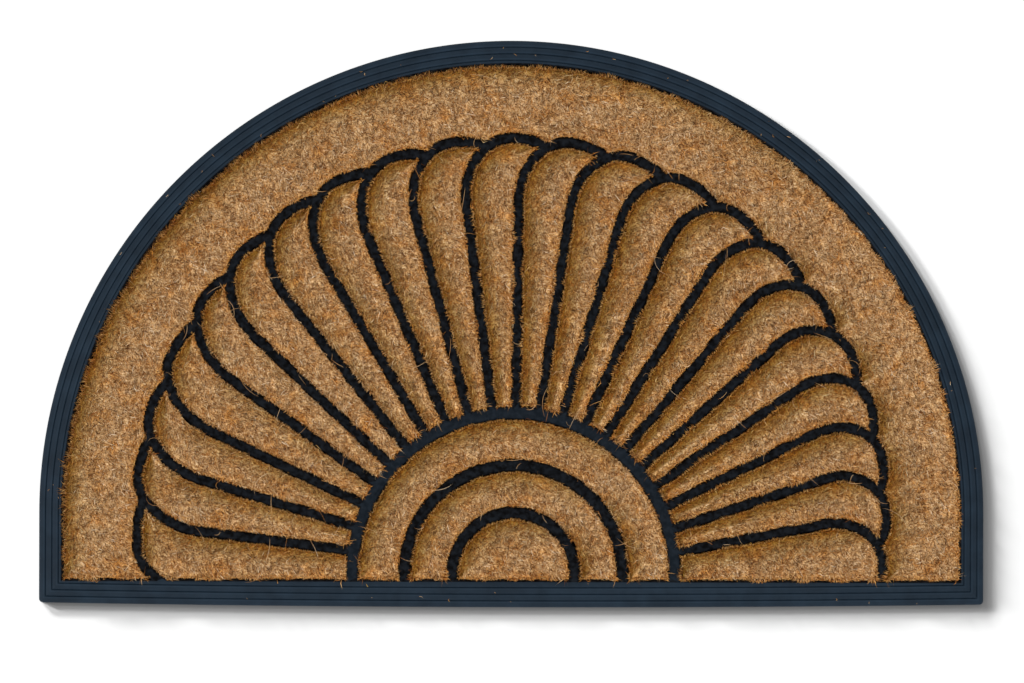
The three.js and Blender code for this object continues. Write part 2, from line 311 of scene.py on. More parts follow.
def meet(first, first_side, second, second_side):
    """The first place where two walls cross, as the run along each centre line."""
    a = first.sampled(first_side)
    b = second.sampled(second_side)
    p = np.diff(a, axis=0)[:, None]
    q = np.diff(b, axis=0)[None]
    gap = b[None, :-1] - a[:-1, None]
    turn = cross(p, q)
    turn = np.where(turn == 0, np.inf, turn)
    s = cross(gap, q) / turn
    t = cross(gap, p) / turn
    hits = np.argwhere((s >= 0) & (s <= 1) & (t >= 0) & (t <= 1))
    i, j = hits[0]
    first_run = (i + s[i, j]) / len(p) * first.length
    second_run = (j + t[i, j]) / q.shape[1] * second.length
    return first_run, second_run


def ray(index):
    degrees = FIRST_RAY - (index - 1) * RAY_PITCH
    turn = FAN_TURN[index] if index < len(FAN_TURN) else 0
    return RAY_CENTRE + FAN_PIVOT * unit(degrees), unit(degrees + turn)


def bend(index):
    """Shoulder, curve, crest and clockwise heading of a bar's bend."""
    origin, heading = ray(index)
    shoulder = circle_hit(origin, heading, ARC_CENTRE, ARCH_RADIUS - BEND_DEPTH)
    tip = circle_hit(origin, heading, ARC_CENTRE, ARCH_RADIUS)
    curl = mix(CURL_AT_LEFT, CURL_AT_RIGHT, index / BAR_COUNT)
    outward = unit(math.degrees(math.atan2(*(tip - ARC_CENTRE)[::-1])) - curl)
    crest = ARC_CENTRE + ARCH_RADIUS * outward
    clockwise = np.array([outward[1], -outward[0]])
    reach = BEND_EASE * np.linalg.norm(tip - shoulder)
    curl_reach = BEND_EASE * ARCH_RADIUS * math.radians(curl)
    curve = bezier(
        shoulder, shoulder + reach * heading, crest - curl_reach * clockwise, crest
    )
    return shoulder, curve, crest, clockwise


def arch_fall(index):
    """The curves on which an arch comes down from its crest."""
    _, _, crest, clockwise = bend(index)
    if index == BAR_COUNT:
        return [line(crest, crest + FRONT_RIM_WIDTH * clockwise)]
    curve = bend(index + 1)[1]
    far = np.linalg.norm(curve - ARC_CENTRE, axis=1) > ARCH_RADIUS - ARCH_DROP
    landing = curve[np.argmax(far)]
    middle = crest + clockwise * np.linalg.norm(landing - crest) / 2
    heading = (landing - middle) / np.linalg.norm(landing - middle)
    return [bezier(crest, middle, landing), line(landing, landing + ARCH_OVERRUN * heading)]


def make_bar(index):
    shoulder, curve, _, _ = bend(index)
    if index == 0:
        return Strand(curve, *arch_fall(index))
    origin, heading = ray(index)
    foot = circle_hit(origin, heading, RING_CENTRE, RINGS[0][0])
    bar = Strand(line(foot, shoulder), curve, *arch_fall(index))
    bar.shoulder = np.linalg.norm(shoulder - foot)
    return bar


bars = [make_bar(index) for index in range(BAR_COUNT + 1)]
front = Strand(
    line(np.array([-MAT_WIDTH / 2, POCKET_FRONT_Y]), np.array([MAT_WIDTH / 2, POCKET_FRONT_Y]))
)


def ring_wall(ring, side):
    return ring[0] + side * ring[1] / 2


def drop_angle(radius, clearance):
    """How many degrees a half ring goes on below its centre, down to the front."""
    return math.degrees(math.asin((RING_CENTRE[1] - POCKET_FRONT_Y - clearance) / radius))


def foot_run(bar, side, clearance):
    """Where the wall of a bar leaves the outer half ring, as a run along the bar."""
    start = bar.at(0, side)
    hit = circle_hit(start, bar.headings[0], RING_CENTRE, ring_wall(RINGS[0], 1) + clearance)
    return np.linalg.norm(hit - start)


def front_run(towards, clearance):
    """Where the outer half ring meets the front, on its left (-1) or right (1)."""
    radius = ring_wall(RINGS[0], 1) + clearance
    drop = math.radians(drop_angle(radius, clearance))
    return MAT_WIDTH / 2 + RING_CENTRE[0] + towards * radius * math.cos(drop)


def two_part(strand, side, start, knee, end):
    """A wall in even steps up to its knee and in other even steps after it."""
    return np.concatenate(
        [
            strand.along(side, start, knee, STRAIGHT_STEPS),
            strand.along(side, knee, end, BEND_STEPS)[1:],
        ]
    )


def bar_wall(bar, side, clearance, end):
    return two_part(bar, side, foot_run(bar, side, clearance), bar.shoulder, end)


def petal_walls(index, clearance):
    """The two long walls of a petal, from its foot to its tip, the left one first."""
    side = BAR_WIDTH / 2 + clearance
    left = bars[index]
    if index == BAR_COUNT:
        bar_end, front_end = meet(left, -side, front, clearance)
        start = front_run(1, clearance)
        knee = mix(start, front_end, left.shoulder / bar_end)
        left_wall = bar_wall(left, -side, clearance, bar_end)
        right_wall = two_part(front, clearance, start, knee, front_end)
    else:
        right = bars[index + 1]
        left_end, right_end = meet(left, -side, right, side)
        right_wall = bar_wall(right, side, clearance, right_end)
        if index == 0:
            bar_start, front_end = meet(left, -side, front, clearance)
            left_wall = np.concatenate(
                [
                    front.along(clearance, front_run(-1, clearance), front_end, STRAIGHT_STEPS),
                    left.along(-side, bar_start, left_end, BEND_STEPS)[1:],
                ]
            )
        else:
            left_wall = bar_wall(left, -side, clearance, left_end)
    left_wall[-1] = right_wall[-1]
    return left_wall, right_wall


def surround_walls(clearance):
    """The field outside the fan, from its left end on the front to its right end."""
    side = BAR_WIDTH / 2 + clearance
    inner = []
    start = meet(bars[0], side, front, clearance)[0]
    for index, bar in enumerate(bars):
        last = index == BAR_COUNT
        end, following = meet(bar, side, *((front, clearance) if last else (bars[index + 1], side)))
        points = bar.along(side, start, end, ARCH_STEPS)
        inner.append(points if last else points[:-1])
        start = following
    inner = np.concatenate(inner)
    reach = ARC_RADIUS - LIP_END - clearance
    away = inner - ARC_CENTRE
    outer = ARC_CENTRE + away / np.linalg.norm(away, axis=1, keepdims=True) * reach
    low = inner[:, 1] < ARC_CENTRE[1]
    outer[low, 0] = np.sign(inner[low, 0]) * reach
    outer[low, 1] = inner[low, 1]
    return outer, inner


def band_walls(outer_ring, inner_ring, clearance):
    walls = []
    for radius in (ring_wall(outer_ring, -1) - clearance, ring_wall(inner_ring, 1) + clearance):
        drop = drop_angle(radius, clearance)
        walls.append(arc(RING_CENTRE, radius, 180 + drop, -drop, RING_STEPS))
    return walls


def disc_walls(ring, clearance):
    radius = ring_wall(ring, -1) - clearance
    drop = drop_angle(radius, clearance)
    round_wall = arc(RING_CENTRE, radius, 180 + drop, -drop, RING_STEPS)
    flat_wall = arc(RING_CENTRE, radius, 180, 0, RING_STEPS)
    squeeze = math.cos(math.radians(drop))
    flat_wall[:, 0] = mix(RING_CENTRE[0], flat_wall[:, 0], squeeze)
    flat_wall[:, 1] = POCKET_FRONT_Y + clearance
    round_wall[0] = flat_wall[0]
    round_wall[-1] = flat_wall[-1]
    return round_wall, flat_wall


def petal(index):
    return lambda clearance: petal_walls(index, clearance)


# Every coir field: its node, its walls for a clearance, and how many columns its bed has
fields = [("coir_surround", surround_walls, 26)]
for number in range(BAR_COUNT + 1):
    fields.append((f"coir_petal_{number + 1:02d}", petal(number), 9))
fields.append(("coir_band_outer", lambda clearance: band_walls(RINGS[0], RINGS[1], clearance), 12))
fields.append(("coir_band_inner", lambda clearance: band_walls(RINGS[1], RINGS[2], clearance), 12))
fields.append(("coir_half_disc", lambda clearance: disc_walls(RINGS[2], clearance), 12))


def outline(walls):
    """The closed outline of a field, anticlockwise."""
    left, right = walls
    loop = np.concatenate([right, left[::-1]])
    apart = np.linalg.norm(loop - np.roll(loop, 1, axis=0), axis=1) > SMALL
    return loop[apart]


def resampled(loop, step):
    """A closed outline at even steps."""
    closed = np.concatenate([loop, loop[:1]])
    runs = np.concatenate([[0], np.cumsum(np.linalg.norm(np.diff(closed, axis=0), axis=1))])
    steps = max(FEWEST_STEPS, round(runs[-1] / step))
    spots = np.linspace(0, runs[-1], steps, endpoint=False)
    return np.stack([np.interp(spots, runs, column) for column in closed.T], axis=-1)


def nearest(loop, points, step=0.7, chunk=4000):
    """How far each point is from an outline, and the unit way towards it."""
    edge = resampled(loop, step).astype(np.float32)
    points = points.astype(np.float32)
    picks = []
    for start in range(0, len(points), chunk):
        part = points[start : start + chunk]
        squares = (part[:, :1] - edge[:, 0]) ** 2 + (part[:, 1:] - edge[:, 1]) ** 2
        picks.append(np.argmin(squares, axis=1))
    way = edge[np.concatenate(picks)] - points
    distance = np.linalg.norm(way, axis=1)
    return distance, way / np.maximum(distance, SMALL)[:, None]


def wave_noise(points, length, seed, count=14, spread=(0.7, 1.6)):
    """Smooth noise in the plane, about -1 to 1, with bumps of about the given length."""
    waves = np.random.default_rng(seed)
    headings = unit(waves.uniform(0, 360, count))
    numbers = 2 * math.pi / (length * waves.uniform(*spread, count))
    phases = waves.uniform(0, 2 * math.pi, count)
    total = np.zeros(len(points))
    for heading, number, phase in zip(headings, numbers, phases):
        total += np.sin(points @ heading * number + phase)
    return total / math.sqrt(count)


def layered(points, noises):
    """The sum of smooth noises of given heights, lengths and seeds."""
    return sum(height * wave_noise(points, length, seed) for height, length, seed in noises)


def make_mesh(name, points, triangles, material):
    """A mesh object from points in millimetres."""
    mesh = bpy.data.meshes.new(name)
    mesh.vertices.add(len(points))
    mesh.vertices.foreach_set("co", (np.asarray(points) * METRES).astype(np.float32).ravel())
    mesh.loops.add(triangles.size)
    mesh.loops.foreach_set("vertex_index", triangles.astype(np.int32).ravel())
    mesh.polygons.add(len(triangles))
    mesh.polygons.foreach_set("loop_start", np.arange(0, triangles.size, 3, dtype=np.int32))
    mesh.update(calc_edges=True)
    mesh.materials.append(material)
    made = bpy.data.objects.new(name, mesh)
    bpy.context.scene.collection.objects.link(made)
    return made


def set_values(made, name, values):
    attribute = made.data.attributes.new(name, "FLOAT", "POINT")
    attribute.data.foreach_set("value", np.asarray(values, np.float32))


def inside(loop, points):
    """Which points lie in a closed outline."""
    a = loop
    b = np.roll(loop, -1, axis=0)
    x, y = points[:, :1], points[:, 1:]
    straddles = (a[:, 1] > y) != (b[:, 1] > y)
    rise = np.where(a[:, 1] == b[:, 1], 1, b[:, 1] - a[:, 1])
    crossing = a[:, 0] + (y - a[:, 1]) / rise * (b[:, 0] - a[:, 0])
    return (straddles & (x < crossing)).sum(axis=1) % 2 == 1


def triangulated(flat, edges):
    """Triangles that fill closed outlines in the plane, as numbers of their points."""
    _, _, found, origins, _, _ = delaunay_2d_cdt(
        flat.tolist(), edges, [], INSIDE_ONLY, FLAT_TOLERANCE
    )
    return np.array([origin[0] for origin in origins])[np.array(found)]


class Shell:
    """A closed mesh made of loops joined by walls and closed by flat faces."""

    def __init__(self):
        self.points = []
        self.triangles = []
        self.count = 0

    def add(self, loop, height):
        """Adds a loop of points at one height, and returns their numbers."""
        self.points.append(np.column_stack([loop, np.full(len(loop), height)]))
        self.count += len(loop)
        return np.arange(self.count - len(loop), self.count)

    def wall(self, lower, upper):
        a, b = lower, np.roll(lower, -1)
        c, d = np.roll(upper, -1), upper
        self.triangles.append(np.column_stack([a, b, c]))
        self.triangles.append(np.column_stack([a, c, d]))

    def face(self, rows, facing):
        """A flat face on a loop, or between a loop and the holes in it, facing up (1) or
        down (-1)."""
        every = np.concatenate(self.points)
        numbers = np.concatenate(rows)
        flat = every[numbers, :2]
        edges = []
        start = 0
        for row in rows:
            steps = np.arange(start, start + len(row))
            edges += np.column_stack([steps, np.roll(steps, -1)]).tolist()
            start += len(row)
        triangles = triangulated(flat, edges)
        middles = flat[triangles].mean(axis=1)
        keep = inside(flat[: len(rows[0])], middles)
        start = len(rows[0])
        for row in rows[1:]:
            keep &= ~inside(flat[start : start + len(row)], middles)
            start += len(row)
        triangles = triangles[keep]
        a, b, c = (flat[triangles[:, i]] for i in range(3))
        wrong = cross(b - a, c - a) * facing < 0
        triangles[wrong] = triangles[wrong][:, ::-1]
        self.triangles.append(numbers[triangles])

    def build(self, name, material):
        return make_mesh(name, np.concatenate(self.points), np.concatenate(self.triangles), material)


def rim_loop(inset):
    """One loop of the rim, anticlockwise from the left end of the front edge."""
    half_width = MAT_WIDTH / 2 - inset
    corner = max(CORNER_RADIUS - inset, EDGE_ROUND / 2)
    corner_x = half_width - corner
    x = np.linspace(-corner_x, corner_x, RIM_FRONT_STEPS + 1)[1:-1]
    y = FRONT_CORNER_Y + inset - FRONT_BOW * (1 - (x / ARC_RADIUS) ** 2)
    corner_y = FRONT_CORNER_Y + inset - FRONT_BOW * (1 - (corner_x / ARC_RADIUS) ** 2) + corner
    return np.concatenate(
        [
            np.column_stack([x, y]),
            arc(np.array([corner_x, corner_y]), corner, -90, 0, CORNER_STEPS),
            arc(ARC_CENTRE, ARC_RADIUS - inset, 0, 180, RIM_ARC_STEPS),
            arc(np.array([-corner_x, corner_y]), corner, 180, 270, CORNER_STEPS),
        ]
    )


def rim_section():
    """Rows of the rim's section, as inset and height, and the rows at which ribs end."""
    rows = [(0, 0), (0, EDGE_HEIGHT)]
    rib_ends = []
    for degrees in EDGE_TURNS:
        turn = math.radians(degrees)
        inset = EDGE_ROUND * (1 - math.cos(turn))
        rows.append((inset, EDGE_HEIGHT + EDGE_ROUND * math.sin(turn) + RIM_RISE * inset))
    start = EDGE_ROUND
    for rib in range(1, RIB_COUNT + 1):
        middle = rib * RIB_PITCH
        near = middle - GROOVE_WIDTH / 2
        for share in RIB_CROWN_SHARES:
            inset = mix(start, near, share)
            rows.append((inset, EDGE_HEIGHT + EDGE_ROUND + RIM_RISE * inset + RIB_CROWN))
        rib_ends.append(len(rows) - 1)
        for across, depth in GROOVE:
            inset = middle + across * GROOVE_WIDTH / 2
            height = EDGE_HEIGHT + EDGE_ROUND + RIM_RISE * inset
            rows.append((inset, height - depth * GROOVE_DEPTH))
        start = middle + GROOVE_WIDTH / 2
    rows.append((LIP_START, BAR_HEIGHT))
    return rows, rib_ends


def make_tray(material):
    """The moulding in one mesh: the rim, and a pocket for each field. The rubber's paleness is a value
    of each face. It holds painted light too: a painted highlight along the rib edges, and bars that
    stay dark partly as painted shade."""
    shell = Shell()
    section, rib_ends = rim_section()
    loops = [shell.add(rim_loop(inset), height) for inset, height in section]
    for lower, upper in zip(loops, loops[1:]):
        shell.wall(lower, upper)
    shell.face([loops[0]], -1)
    brims = []
    for _, walls, _ in fields:
        rows = [shell.add(outline(walls(0)), FLOOR_HEIGHT)]
        for step in range(BAR_ROUND_STEPS + 1):
            turn = math.radians(90 * step / BAR_ROUND_STEPS)
            out = BAR_ROUND * (1 - math.cos(turn))
            height = BAR_HEIGHT - BAR_ROUND * (1 - math.sin(turn))
            rows.append(shell.add(outline(walls(-out)), height))
        shell.face([rows[0]], 1)
        for lower, upper in zip(rows, rows[1:]):
            shell.wall(upper, lower)
        brims.append(rows[-1])
    shell.face([loops[-1], *brims], 1)
    tray = shell.build("rubber_moulding", material)
    every = np.concatenate(shell.points)[:, :2]
    triangles = np.concatenate(shell.triangles)
    middles = every[triangles].mean(axis=1)
    row = triangles.min(axis=1) // len(loops[0])
    # The bars stay dark, partly as painted shade from the pile beside them
    pale_and_painted_light = np.where(row < len(loops), RIM_PALENESS, 0.0)
    # Painted highlight: full paleness on the rows where the ribs meet their grooves
    pale_and_painted_light[np.isin(row, rib_ends)] = 1
    from_ring = np.abs(np.linalg.norm(middles - RING_CENTRE, axis=1) - RINGS[0][0])
    pale_and_painted_light[(from_ring < RINGS[0][1] / 2) & (middles[:, 1] > POCKET_FRONT_Y)] = RING_PALENESS
    attribute = tray.data.attributes.new("pale_and_painted_light", "FLOAT", "FACE")
    attribute.data.foreach_set("value", pale_and_painted_light.astype(np.float32))
    tray.data.shade_smooth()
    tray.data.set_sharp_from_angle(angle=math.radians(SHARP_ANGLE))
    return tray


def bed_height(points, walls):
    """Height of the dense pile under the fibre tips, its painted shades, and the distance and way to
    the nearest edge. The pile lies deeper along the back left of each pocket, because it leans away
    from there. Its colour gets a broad painted shade there, and a thin painted shade along the front
    right edges."""
    distance, way = nearest(outline(walls(-OUTSET)), points)
    distance = np.maximum(distance - OUTSET - BED_GAP, 0)
    rounded = 1 - np.exp(-distance / BED_ROUND)
    towards = np.clip(way @ LIGHT_WAY, 0, 1)
    sink = BED_SINK * towards**0.5 * np.exp(-((distance / SINK_REACH) ** 2))
    height = BED_EDGE + BED_CROWN * rounded - sink + rounded * layered(points, LUMPS)
    # Painted shade of the pile's colour along the back left of the pocket
    shade = towards**0.5 * np.exp(-distance / SHADE_REACH)
    # Painted shade, darker and warmer, in a thin band along the front right edges of the pocket
    lower = np.clip(-(way @ LIGHT_WAY), 0, 1)
    edge = lower**0.5 * np.exp(-distance / EDGE_SHADE_REACH)
    return height, {"shade": shade, "edge": edge}, distance, way


def make_bed(name, walls, columns, material):
    """A closed bed of coir that fills its pocket."""
    left, right = walls(BED_GAP)
    spread = np.linspace(-1, 1, columns + 1)
    eased = np.sign(spread) * (1 - (1 - np.abs(spread)) ** COLUMN_EASE)
    shares = 0.5 + 0.5 * eased
    flat = mix(left[:, None], right[:, None], shares[None, :, None]).reshape(-1, 2)
    height, shades, _, _ = bed_height(flat, walls)
    numbers = np.arange(len(flat)).reshape(len(left), columns + 1)
    for end in (0, -1):
        if np.linalg.norm(left[end] - right[end]) < TINY:
            numbers[end] = numbers[end, 0]
    a, b = numbers[:-1, :-1].ravel(), numbers[:-1, 1:].ravel()
    c, d = numbers[1:, 1:].ravel(), numbers[1:, :-1].ravel()
    top = np.concatenate([np.column_stack([a, b, c]), np.column_stack([a, c, d])])
    top = top[(top != np.roll(top, 1, axis=1)).all(axis=1)]
    ends = [numbers[-1, -2:0:-1], numbers[0, 1:-1]]
    rim = np.concatenate([numbers[:, -1], ends[0], numbers[::-1, 0], ends[1]])
    rim = rim[rim != np.roll(rim, 1)]
    following = np.roll(rim, -1)
    feet = len(flat) + np.arange(len(rim))
    sides = [
        np.column_stack([feet, np.roll(feet, -1), following]),
        np.column_stack([feet, following, rim]),
    ]
    steps = np.arange(len(rim))
    edges = np.column_stack([steps, np.roll(steps, -1)])
    base = triangulated(flat[rim], edges.tolist())
    p, q, r = (flat[rim][base[:, i]] for i in range(3))
    upward = cross(q - p, r - p) > 0
    base[upward] = base[upward][:, ::-1]
    points = np.concatenate(
        [
            np.column_stack([flat, height]),
            np.column_stack([flat[rim], np.full(len(rim), FLOOR_HEIGHT + CLEARANCE)]),
        ]
    )
    triangles = np.concatenate([top, *sides, feet[base]])
    used = np.unique(triangles)
    renumber = np.zeros(len(points), int)
    renumber[used] = np.arange(len(used))
    bed = make_mesh(name, points[used], renumber[triangles], material)
    bed.data.shade_smooth()
    for label, values in shades.items():
        set_values(bed, label, np.concatenate([values, values[rim]])[used])
    return bed


def scattered(walls, count):
    """Points spread evenly over a field, without rows."""
    left, right = walls
    a, b, c, d = left[:-1], right[:-1], right[1:], left[1:]
    areas = np.abs(cross(c - a, d - b)) / 2
    ends = np.cumsum(areas) / areas.sum()
    numbers = np.arange(count)
    place = (numbers + rng.uniform(size=count)) / count
    chosen = np.minimum(np.searchsorted(ends, place), len(areas) - 1)
    starts = np.concatenate([[0], ends[:-1]])
    along = ((place - starts[chosen]) / (ends - starts)[chosen])[:, None]
    across = (numbers * GOLDEN % 1)[:, None]
    low = mix(a[chosen], b[chosen], across)
    high = mix(d[chosen], c[chosen], across)
    return mix(low, high, along)


def field_area(walls):
    """The area between two walls."""
    left, right = walls
    return np.abs(cross(right[1:] - left[:-1], left[1:] - right[:-1])).sum() / 2


def hairs(lines, widths):
    """Closed three-sided hairs along lines of points, pointed at both ends. lines holds count
    rows of steps points, and widths the greatest width of each."""
    count, steps = lines.shape[:2]
    along = np.gradient(lines, axis=1)
    along /= np.linalg.norm(along, axis=2, keepdims=True)
    aside = np.cross(along, [0, 0, 1])
    aside /= np.maximum(np.linalg.norm(aside, axis=2, keepdims=True), TINY)
    upward = np.cross(aside, along)
    roll = rng.uniform(0, 2 * math.pi, count)[:, None, None]
    swell = np.sin(np.linspace(*HAIR_ENDS, steps) * math.pi)[None, :, None]
    rings = []
    for third in range(3):
        angle = roll + third * 2 * math.pi / 3
        turned = np.cos(angle) * aside + np.sin(angle) * upward
        rings.append(lines + turned * widths[:, None, None] / 2 * swell)
    rings = np.stack(rings, axis=2)[:, 1:-1].reshape(count, -1, 3)
    points = np.concatenate([lines[:, :1], rings, lines[:, -1:]], axis=1)
    last = points.shape[1] - 1
    pattern = []
    for i in range(3):
        j = (i + 1) % 3
        pattern.append([0, 1 + i, 1 + j])
        for ring in range(steps - 3):
            low, high = 1 + 3 * ring, 4 + 3 * ring
            pattern.append([low + i, high + i, high + j])
            pattern.append([low + i, high + j, low + j])
        pattern.append([last, last - 3 + j, last - 3 + i])
    starts = np.arange(count)[:, None, None] * (last + 1)
    return points.reshape(-1, 3), (starts + np.array(pattern)).reshape(-1, 3), last + 1


def spikes(roots, tips, widths):
    """Closed three-sided spikes, as points, triangles and the points in each."""
    along = tips - roots
    along /= np.linalg.norm(along, axis=1, keepdims=True)
    aside = np.cross(along, [0, 0, 1])
    aside /= np.maximum(np.linalg.norm(aside, axis=1, keepdims=True), TINY)
    upward = np.cross(aside, along)
    roll = rng.uniform(0, 2 * math.pi, len(roots))
    corners = []
    for third in range(3):
        angle = roll + third * 2 * math.pi / 3
        turned = np.cos(angle)[:, None] * aside + np.sin(angle)[:, None] * upward
        corners.append(roots + turned * widths[:, None] / 2)
    points = np.stack([*corners, tips], axis=1).reshape(-1, 3)
    pattern = np.array([[0, 2, 1], [0, 1, 3], [1, 2, 3], [2, 0, 3]])
    triangles = (np.arange(len(roots))[:, None, None] * 4 + pattern).reshape(-1, 3)
    return points, triangles, 4


def fibre_ends(spots, height, turn, rise, lengths, allowed, way):
    """Roots and tips of fibres, cut short where they would reach too far past the edge."""
    flat = unit(turn)
    outwards = np.einsum("ij,ij->i", flat, way)
    reach = lengths * np.cos(rise) * outwards
    shrink = np.clip(allowed / np.maximum(reach, SMALL), SHORTEST_SHARE, 1)
    lengths = np.where(reach > allowed, lengths * shrink, lengths)
    steepest = np.arcsin(np.clip((FIBRE_TOP - height) / lengths, -STEEPEST_DIP, 1))
    rise = np.minimum(rise, steepest)
    roots = np.column_stack([spots, height])
    headings = np.column_stack([flat * np.cos(rise)[:, None], np.sin(rise)])
    return roots, roots + headings * lengths[:, None]


def from_middle(spots):
    """How far spots are from the middle of the mat, in the shape of its outline."""
    return np.maximum(np.linalg.norm(spots - ARC_CENTRE, axis=1), np.abs(spots[:, 0]))


def ragged_edge(spots):
    """How ragged the coir's edge is there, about -0.5 to 0.5, and more along the rim and
    between the petals on the right."""
    wave = np.clip(layered(spots, RAGGED_WAVES), -RAGGED_LIMIT, RAGGED_LIMIT)
    at_front = spots[:, 1] < POCKET_FRONT_Y + TUFT_REACH
    at_arc = from_middle(spots) > ARC_RADIUS - LIP_END - TUFT_REACH
    from_ring = np.linalg.norm(spots - RING_CENTRE, axis=1)
    in_fan = (from_ring > RINGS[0][0]) & (from_ring < FAN_REACH) & (spots[:, 0] > 0)
    tufts = np.where(at_front, FRONT_TUFTS, ARC_TUFTS * at_arc + FAN_TUFTS * in_fan)
    return wave + tufts * np.maximum(layered(spots, TUFT_WAVES), TUFT_FLOOR)


def pile_fibres(walls):
    """The fibres all over a field: lines of three points, widths, tones, shades and which
    ones are bent."""
    rims = walls(BED_GAP)
    spots = scattered(rims, int(field_area(rims) * FIBRES_PER_MM2))
    count = len(spots)
    height, shades, distance, way = bed_height(spots, walls)
    swirl = layered(spots, SWIRLS)
    spread = LEAN_SPREAD + WALL_SPREAD * shades["shade"]
    turn = LEAN_HEADING + spread * rng.normal(size=count) + LEAN_SWIRL * swirl
    rise = np.radians(rng.uniform(*FIBRE_RISE, count))
    lengths = rng.uniform(*FIBRE_LENGTH, count)
    allowed = distance + BED_GAP - PILE_MARGIN + RAGGED * PILE_RAGGED * ragged_edge(spots)
    sunk = rng.uniform(*FIBRE_SUNK, count)
    roots, tips = fibre_ends(spots, height - sunk, turn, rise, lengths, allowed, way)
    middles = (roots + tips) / 2 + rng.normal(0, BENT_SWAY, roots.shape) * lengths[:, None]
    middles[:, 2] = np.minimum(middles[:, 2] + BENT_ARCH * lengths, FIBRE_TOP)
    tones = rng.normal(*FIBRE_TONE, count)
    pick = rng.uniform(size=count)
    tones[pick < DARK_SHARE] -= TONE_STEP
    tones[pick > 1 - PALE_SHARE] += TONE_STEP
    bent = rng.uniform(size=count) < BENT_SHARE
    lines = np.stack([roots, middles, tips], axis=1)
    return lines, rng.uniform(*FIBRE_WIDTH, count), tones, shades, bent


def fringe_fibres(walls):
    """Bent fibres that curl up at the edge of a field and over the rubber beside it."""
    edge = resampled(outline(walls(0)), FRINGE_STEP)
    ahead = np.roll(edge, -1, axis=0) - np.roll(edge, 1, axis=0)
    ahead /= np.linalg.norm(ahead, axis=1, keepdims=True)
    way = np.column_stack([ahead[:, 1], -ahead[:, 0]])
    facing = np.degrees(np.arctan2(way[:, 1], way[:, 0]))
    at_rim = from_middle(edge) > ARC_RADIUS - LIP_END - RIM_NEAR
    lit = at_rim * np.clip(way @ LIGHT_WAY, 0, 1)
    reach = np.interp(facing, FRINGE_WAYS, FRINGE_REACHES) * np.where(at_rim, 1, BAR_SHARE)
    ragged = ragged_edge(edge)
    count = len(edge)
    over = reach * (1 + RAGGED_REACH * ragged) * rng.uniform(*FRINGE_OVER, count)
    over += RAGGED * ragged * rng.uniform(*RAGGED_SHARE, count) - FRINGE_BACK
    inset = BED_GAP + rng.uniform(*FRINGE_INSET, count) + lit * rng.uniform(0, RIM_INSET, count)
    spots = edge - way * inset[:, None]
    height, shades, _, _ = bed_height(spots, walls)
    # The fringe takes part of the pocket's painted shade
    shades["shade"] *= FRINGE_SHADE
    aside = ahead * rng.normal(0, ASIDE + ASIDE_FOR_REACH * reach + ASIDE_AT_RIM * lit)[:, None]
    crest = np.maximum(height, BAR_HEIGHT) + rng.uniform(*KNEE_RISE, count)
    tip_height = BAR_HEIGHT + rng.uniform(*TIP_RISE, count)
    roots = np.column_stack([spots, height - FRINGE_SINK])
    knees = edge + way * mix(-inset, over, 0.5)[:, None] + KNEE_ASIDE * aside
    tips = np.column_stack([edge + way * over[:, None] + aside, tip_height])
    lines = np.stack([roots, np.column_stack([knees, crest]), tips], axis=1)
    # Fringe fibres at the rim's back left get darker tones as painted shade
    tones = rng.normal(*FRINGE_TONE, count) - RIM_FRINGE_SHADE * lit
    return lines, rng.uniform(*FRINGE_WIDTH, count), tones, shades, np.full(count, True)


def join_fibres(name, sets, material):
    """One piece from sets of fibres, each with lines, widths, tones, shades and which are bent."""
    points, triangles, values = [], [], {"tone": [], "tip": [], "shade": [], "edge": []}
    start = 0
    for lines, widths, tones, shades, bent in sets:
        steps = lines.shape[1]
        hair_tips = [0, *np.repeat(np.linspace(0, 1, steps)[1:-1], 3), 1]
        for chosen, made, profile in (
            (bent, hairs(lines[bent], widths[bent] * BENT_SWELL), hair_tips),
            (~bent, spikes(lines[~bent, 0], lines[~bent, -1], widths[~bent]), [0, 0, 0, 1]),
        ):
            made_points, made_triangles, each = made
            points.append(made_points)
            triangles.append(made_triangles + start)
            start += len(made_points)
            values["tone"].append(np.repeat(np.clip(tones[chosen], 0, 1), each))
            values["tip"].append(np.tile(profile, chosen.sum()))
            for label, shade in shades.items():
                values[label].append(np.repeat(shade[chosen], each))
    made = make_mesh(name, np.concatenate(points), np.concatenate(triangles), material)
    for label, rows in values.items():
        set_values(made, label, np.concatenate(rows))
    return made


def make_fibres(name, walls, material):
    """The fibres of one field. The widest field has two pieces, left and right of the middle."""
    sets = [pile_fibres(walls), fringe_fibres(walls)]
    if name != "fibres_surround":
        return [join_fibres(name, sets, material)]
    pieces = []
    for end, sign in (("left", -1), ("right", 1)):
        half = []
        for lines, widths, tones, shades, bent in sets:
            near = lines[:, 0, 0] * sign > 0
            near_shades = {label: values[near] for label, values in shades.items()}
            half.append((lines[near], widths[near], tones[near], near_shades, bent[near]))
        pieces.append(join_fibres(f"{name}_{end}", half, material))
    return pieces


def lying_lines(spots, height, lengths, turn, curl, steps):
    """Lines of points that lie level and curl, starting at the spots."""
    headings = unit(turn[:, None] + curl[:, None] * np.linspace(0, 1, steps - 1))
    strides = headings * (lengths / (steps - 1))[:, None, None]
    flat = spots[:, None] + np.concatenate([0 * strides[:, :1], strides], axis=1).cumsum(axis=1)
    return np.concatenate([flat, np.broadcast_to(height[:, None, None], (*flat.shape[:2], 1))], axis=2)


def loose(lines, tone, width):
    """Bent fibres along lines, with tones and widths from two ranges and no shades."""
    count = len(lines)
    nothing = {"shade": np.zeros(count), "edge": np.zeros(count)}
    tones = rng.uniform(*tone, count)
    return lines, rng.uniform(*width, count), tones, nothing, np.full(count, True)


